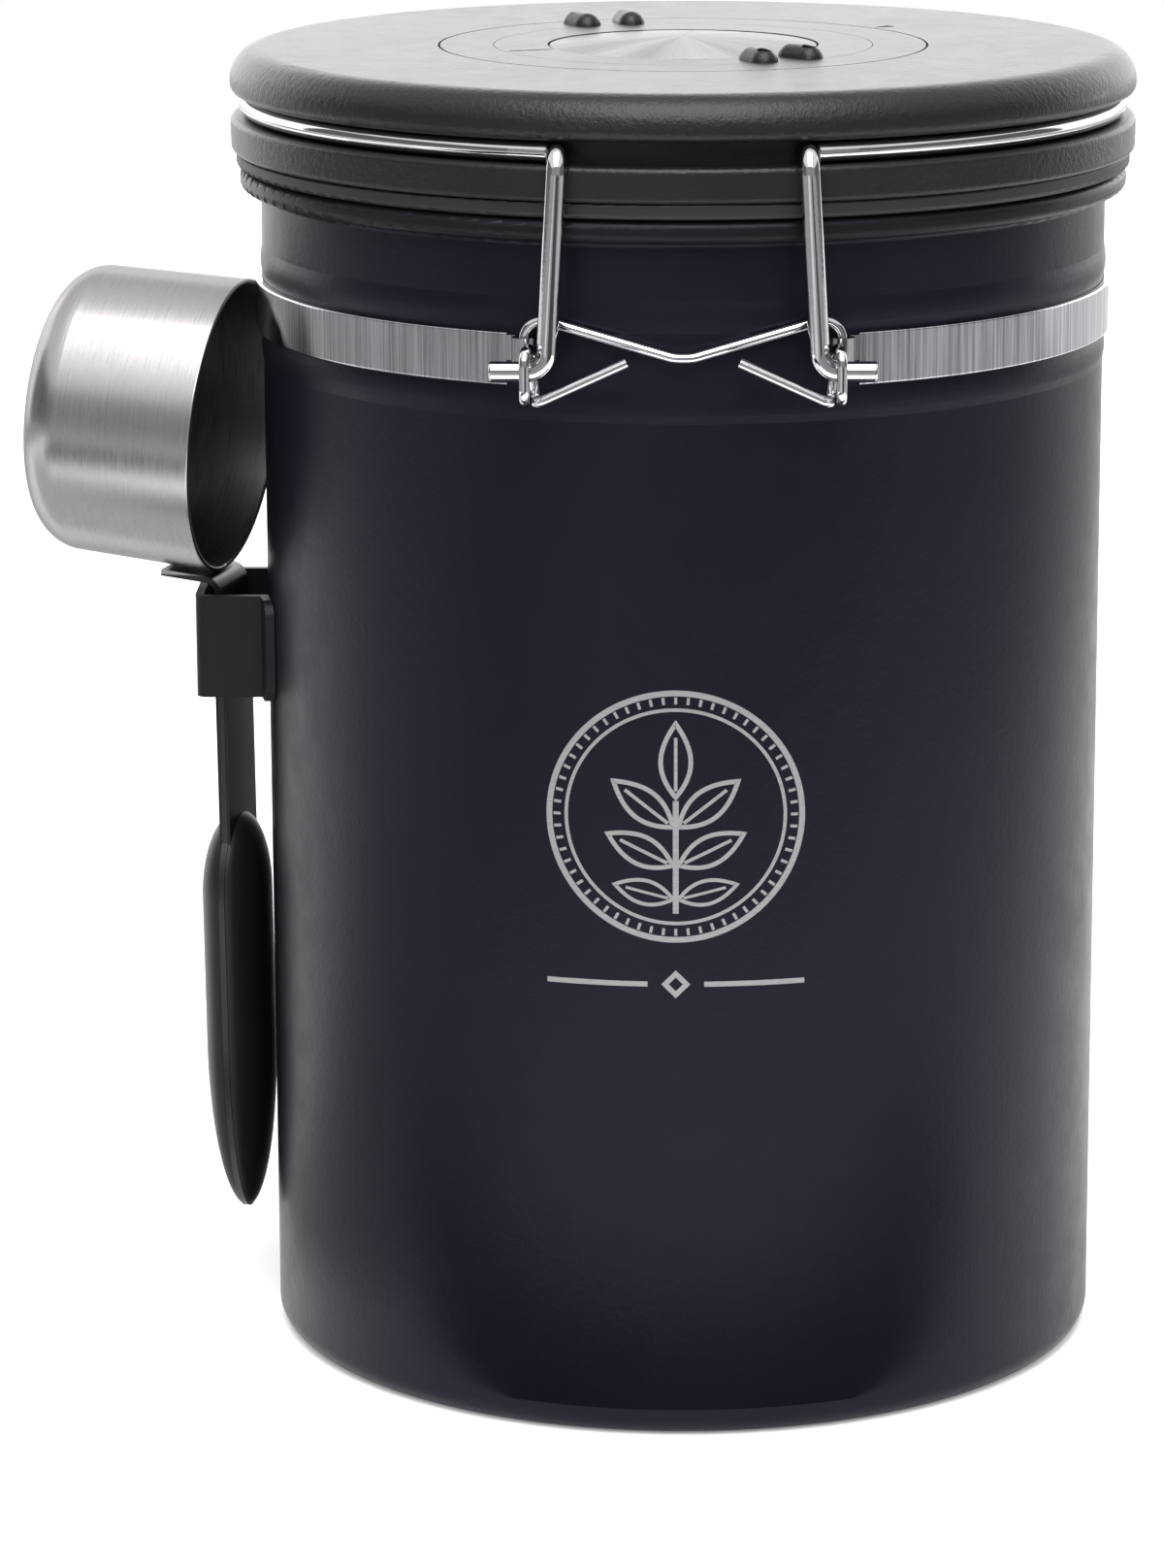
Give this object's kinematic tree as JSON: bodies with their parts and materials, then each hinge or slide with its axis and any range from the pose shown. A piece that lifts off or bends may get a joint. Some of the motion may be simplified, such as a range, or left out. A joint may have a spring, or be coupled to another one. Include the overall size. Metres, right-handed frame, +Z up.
{
  "type": "coffee canister",
  "caption": "Round steel coffee canister with a hinged plastic lid, one-way gas valve, date dials, wire latch and a measuring scoop hung in a holder on its side.",
  "frame": {"origin": "middle of the can's base, on the surface it stands on", "axes": "+Z up along the can's axis, -Y to the side with the lid's hinge, -X to the scoop"},
  "size_m": [0.1582, 0.1373, 0.1887],
  "materials": {
    "can_paint": "fine matt powder coat",
    "polished_steel": "mirror polished",
    "bright_wire": "bright plated wire",
    "holder_paint": "matt black",
    "lid_plastic": "finely textured black",
    "seal_rubber": "matt black silicone",
    "valve_plastic": "plain",
    "filter_felt": "felt",
    "brushed_steel": "brushed",
    "grip_plastic": "satin black"
  },
  "bodies": {
    "canister": {"can_body": "can_paint", "clamp_band": "polished_steel", "hinge_eye_wire": "bright_wire", "latch_bracket": "polished_steel", "latch_rivets": "polished_steel", "scoop_holder": "holder_paint"},
    "lid": {"lid_cover": "lid_plastic", "lid_base": "lid_plastic", "lid_gasket": "seal_rubber", "bail_wire": "bright_wire", "valve_body": "valve_plastic", "valve_oring": "seal_rubber", "valve_filter": "filter_felt", "valve_retainer": "valve_plastic", "centre_cap": "brushed_steel"},
    "valve_disc": {"valve_disc": "seal_rubber"},
    "month_dial": {"month_dial": "lid_plastic"},
    "day_dial": {"day_dial": "lid_plastic"},
    "latch_clip": {"latch_clip": "bright_wire"},
    "scoop": {"scoop_cup": "brushed_steel", "scoop_handle": "brushed_steel", "grip_outer_scale": "grip_plastic", "grip_inner_scale": "grip_plastic"}
  },
  "joints": [
    {"name": "lid_hinge", "type": "hinge", "parent": "canister", "child": "lid", "pos_m": [0, -0.0635, 0.1506], "axis": [1, 0, 0], "range_deg": [0, 110]},
    {"name": "latch_swing", "type": "hinge", "parent": "canister", "child": "latch_clip", "pos_m": [0, 0.0643, 0.1512], "axis": [1, 0, 0], "range_deg": [0, 176.6]},
    {"name": "scoop_lift", "type": "slide", "parent": "canister", "child": "scoop", "axis": [0, 0, 1], "range_m": [0, 0.013]},
    {"name": "month_turn", "type": "hinge", "parent": "lid", "child": "month_dial", "pos_m": [0, 0, 0.187], "axis": [0, 0, 1], "continuous": true},
    {"name": "day_turn", "type": "hinge", "parent": "lid", "child": "day_dial", "pos_m": [0, 0, 0.187], "axis": [0, 0, 1], "continuous": true},
    {"name": "valve_lift", "type": "slide", "parent": "lid", "child": "valve_disc", "axis": [0, 0, 1], "range_m": [0, 0.0008]}
  ]
}
